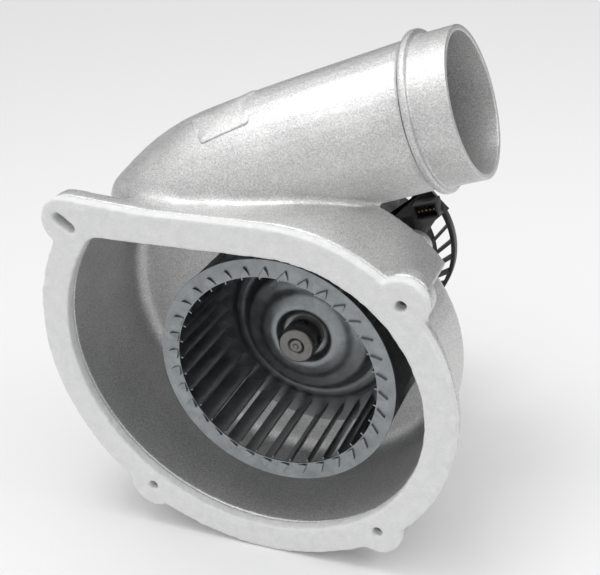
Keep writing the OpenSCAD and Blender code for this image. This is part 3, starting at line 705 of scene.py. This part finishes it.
# --- Motor carrier ----------------------------------------------------------------------
# Cast legs and a plate hold the motor clear of the warm casing on fibre washers.


def fibre_washer():
    mat, bsdf = shader("fibre_washer", (0.2, 0.17, 0.14), 0.0, 0.7)
    layers = grain(mat, 900.0, 3.0, stretch=(1, 6, 1))
    tint(mat, bsdf, spread(mat, layers, 0, 1), (0.15, 0.125, 0.1), (0.25, 0.21, 0.17))
    relief(mat, bsdf, (layers, 0.0002, 0.4))
    return mat


def plated_steel():
    mat, bsdf = shader("plated_steel", (0.5, 0.51, 0.53), 1.0, 0.32)
    wear = grain(mat, 350.0, 4.0)
    tint(mat, bsdf, spread(mat, wear, 0, 1), (0.4, 0.41, 0.43), (0.56, 0.57, 0.59))
    join_to(mat, spread(mat, wear, 0.24, 0.42), bsdf.inputs["Roughness"])
    relief(mat, bsdf, (grain(mat, 1500.0), 0.00005, 0.3))
    return mat


PLATED = plated_steel()
dress("thermal_washers", fibre_washer(), "housing", "fibre")
dress("motor_carrier", ALUMINIUM, "housing", "cast", 0.5 * MM)
dress("carrier_screws", PLATED, "housing", "screws", 0.3 * MM)
dress("bearing_tube", ALUMINIUM, "housing", "cast", 0.3 * MM)
dress("tube_screws", PLATED, "housing", "screws", 0.12 * MM)

# --- Bearings ---------------------------------------------------------------------------
# Two deep-groove ball bearings in the tube, ground and polished, with a spring between.


def ground_steel():
    mat, bsdf = shader("ground_steel", (0.62, 0.62, 0.63), 1.0, 0.14)
    haze = grain(mat, 500.0, 3.0)
    join_to(mat, spread(mat, haze, 0.1, 0.2), bsdf.inputs["Roughness"])
    tint(mat, bsdf, spread(mat, haze, 0, 1), (0.56, 0.56, 0.57), (0.66, 0.66, 0.67))
    relief(mat, bsdf, (grain(mat, 2500.0), 0.00002, 0.2))
    return mat


GROUND = ground_steel()
for end_name in ("front", "rear"):
    dress(end_name + "_bearing_outer", GROUND, "housing", "bearing_steel", 0.15 * MM)
    dress(end_name + "_bearing_inner", GROUND, "rotor", "bearing_steel", 0.15 * MM)
    dress(end_name + "_bearing_balls", GROUND, "rotor", "bearing_steel", 0)
dress("preload_spring", PLATED, "housing", "spring_steel", 0)
dress("shaft_clip", PLATED, "rotor", "spring_steel", 0.1 * MM)

# --- Stator -----------------------------------------------------------------------------
# A stack of stamped iron sheets between plastic end plates, each tooth wound with
# enamelled copper wire.


def laminated_iron():
    mat, bsdf = shader("laminated_iron", (0.22, 0.22, 0.235), 0.8, 0.5)
    sheets = grain(mat, 1.0, 0.0, stretch=(0, 2200, 0))
    tint(mat, bsdf, spread(mat, sheets, 0, 1), (0.14, 0.14, 0.15), (0.3, 0.3, 0.32))
    relief(mat, bsdf, (sheets, 0.0002, 0.5))
    return mat


def wound_copper():
    mat, bsdf = shader("wound_copper", (0.5, 0.21, 0.09), 0.8, 0.34)
    radius, _ = round_shaft(mat)
    wires = add(mat, "Math", {0: add(mat, "Math", {0: radius, 1: 9000.0}, operation="MULTIPLY"
                                     ).outputs[0]}, operation="SINE").outputs[0]
    wear = grain(mat, 500.0)
    tint(mat, bsdf, spread(mat, wear, 0, 1), (0.42, 0.16, 0.065), (0.6, 0.27, 0.12))
    relief(mat, bsdf, (wires, 0.00015, 0.7))
    return mat


def moulded_nylon():
    mat, bsdf = shader("moulded_nylon", (0.78, 0.75, 0.66), 0.0, 0.45)
    cloud = grain(mat, 200.0, 3.0)
    tint(mat, bsdf, spread(mat, cloud, 0, 1), (0.72, 0.69, 0.6), (0.82, 0.79, 0.71))
    relief(mat, bsdf, (grain(mat, 1800.0), 0.00008, 0.3))
    return mat


dress("stator_core", laminated_iron(), "housing", "iron", 0)
dress("stator_insulator", moulded_nylon(), "housing", "insulator", 0.15 * MM)
dress("stator_windings", wound_copper(), "housing", "copper", 0.6 * MM)

# --- Circuit board and connector ---------------------------------------------------------
# The black-lacquered drive board sits on brass spacers in front of the rotor; its arm carries a
# black connector with brass pins.


def board_lacquer():
    mat, bsdf = shader("board_lacquer", (0.015, 0.016, 0.017), 0.0, 0.3)
    cloud = grain(mat, 420.0, 2.0)
    tint(mat, bsdf, spread(mat, cloud, 0, 1), (0.01, 0.011, 0.012), (0.024, 0.025, 0.026))
    bsdf.inputs["Coat Weight"].default_value = 0.4
    relief(mat, bsdf, (grain(mat, 900.0), 0.00006, 0.3))
    return mat


def turned_brass():
    mat, bsdf = shader("turned_brass", (0.7, 0.52, 0.24), 1.0, 0.25)
    wear = grain(mat, 500.0)
    tint(mat, bsdf, spread(mat, wear, 0, 1), (0.62, 0.44, 0.19), (0.76, 0.58, 0.29))
    relief(mat, bsdf, (grain(mat, 1.0, 2.0, stretch=(300, 5000, 300)), 0.00005, 0.4))
    return mat


def black_moulding():
    mat, bsdf = shader("black_moulding", (0.012, 0.012, 0.013), 0.0, 0.38)
    texture = grain(mat, 2600.0, 3.0)
    haze = grain(mat, 120.0, 4.0)
    tint(mat, bsdf, spread(mat, haze, 0, 1), (0.009, 0.009, 0.01), (0.02, 0.02, 0.021))
    join_to(mat, spread(mat, haze, 0.32, 0.5), bsdf.inputs["Roughness"])
    relief(mat, bsdf, (texture, 0.00008, 0.4), (haze, 0.0004, 0.1))
    return mat


BRASS, BLACK = turned_brass(), black_moulding()
dress("circuit_board", board_lacquer(), "housing", "board", 0.1 * MM)
dress("board_spacers", BRASS, "housing", "brass", 0.15 * MM)
dress("board_screws", PLATED, "housing", "screws", 0.12 * MM)
dress("connector_housing", BLACK, "housing", "black_plastic", 0.25 * MM)
dress("connector_pins", BRASS, "housing", "brass", 0.1 * MM)

# --- Rotor ------------------------------------------------------------------------------
# A drawn and plated steel cup with ferrite magnets glued inside, on a brass bush.


def ferrite():
    mat, bsdf = shader("ferrite", (0.06, 0.06, 0.065), 0.2, 0.55)
    chips = grain(mat, 700.0, 4.0)
    tint(mat, bsdf, spread(mat, chips, 0, 1), (0.045, 0.045, 0.05), (0.09, 0.09, 0.095))
    relief(mat, bsdf, (chips, 0.0002, 0.4))
    return mat


dress("rotor_bush", BRASS, "rotor", "brass", 0.25 * MM)
dress("rotor_cup", PLATED, "rotor", "cup_steel", 0.5 * MM)
dress("rotor_magnets", ferrite(), "rotor", "magnet", 0.2 * MM)

# --- Cooling wheel ----------------------------------------------------------------------
# A black glass-filled nylon wheel pressed on the cup; its thin blades draw air past the
# motor.
dress("cooling_wheel", BLACK, "rotor", "black_plastic", 0.25 * MM)

# --- Floor, light and camera -------------------------------------------------------------
SKY_BRIGHT = Vector((-0.08, -0.3, 0.9))
SKY_DARK, SKY_PEAK = 0.04, 1.2
FLOOR_HALF, FLOOR_GAP = 6.0, 0.2 * MM
scene = bpy.context.scene
low = min(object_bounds()[0].z, size_before[0].z)


def white_floor():
    mat, bsdf = shader("white_floor", (0.82, 0.82, 0.82), 0.0, 0.9)
    bsdf.inputs["Specular IOR Level"].default_value = 0.1
    return mat


bm = bmesh.new()
bmesh.ops.create_grid(bm, x_segments=1, y_segments=1, size=FLOOR_HALF)
mesh = bpy.data.meshes.new("floor")
bm.to_mesh(mesh)
bm.free()
for v in mesh.vertices:
    v.co.z = low - FLOOR_GAP
mesh.materials.append(white_floor())
floor = bpy.data.objects.new("floor", mesh)
scene.collection.objects.link(floor)

world = bpy.data.worlds.new("studio")
scene.world = world
world.use_nodes = True
sky = world.node_tree
background = sky.nodes["Background"]
look = sky.nodes.new("ShaderNodeTexCoord")
toward = sky.nodes.new("ShaderNodeVectorMath")
toward.operation = "DOT_PRODUCT"
toward.inputs[1].default_value = SKY_BRIGHT.normalized()
glow = sky.nodes.new("ShaderNodeMapRange")
glow.interpolation_type = "SMOOTHSTEP"
for socket, value in (("From Min", -0.25), ("From Max", 1.0), ("To Min", SKY_DARK),
                      ("To Max", SKY_PEAK)):
    glow.inputs[socket].default_value = value
sky.links.new(look.outputs["Generated"], toward.inputs[0])
sky.links.new(toward.outputs["Value"], glow.inputs["Value"])
sky.links.new(glow.outputs[0], background.inputs["Strength"])
background.inputs["Color"].default_value = (1, 1, 1, 1)


def aimed(name, kind, place, power, **settings):
    """A lamp at this place, turned towards the middle of the object."""
    data = bpy.data.lights.new(name, kind)
    data.energy = power
    for key, value in settings.items():
        setattr(data, key, value)
    obj = bpy.data.objects.new(name, data)
    obj.location = place
    obj.rotation_mode = "QUATERNION"
    obj.rotation_quaternion = (AIM - Vector(place)).to_track_quat("-Z", "Y")
    scene.collection.objects.link(obj)


AIM = Vector((0.0, 0.06, 0.02))
aimed("key_lamp", "AREA", (-0.2, -0.1, 1.1), 3.2, shape="DISK", size=0.5)
aimed("side_lamp", "AREA", (0.9, 0.1, 0.8), 2.2, shape="DISK", size=0.4)

CAMERA_AT = Vector((204.5, -431.0, 295.5)) * MM
RIGHT = Vector((0.9295, 0.3651, -0.0522)).normalized()
FORWARD = Vector((-0.3482, 0.8222, -0.4503)).normalized()
UP = RIGHT.cross(FORWARD).normalized()
camera = bpy.data.objects.new("camera", bpy.data.cameras.new("camera"))
camera.data.lens = 64.6
camera.data.sensor_width = 36
pose = Matrix((RIGHT, UP, -FORWARD)).transposed().to_4x4()
pose.translation = CAMERA_AT
camera.matrix_world = pose
scene.collection.objects.link(camera)
scene.camera = camera
scene.view_settings.view_transform = "Standard"
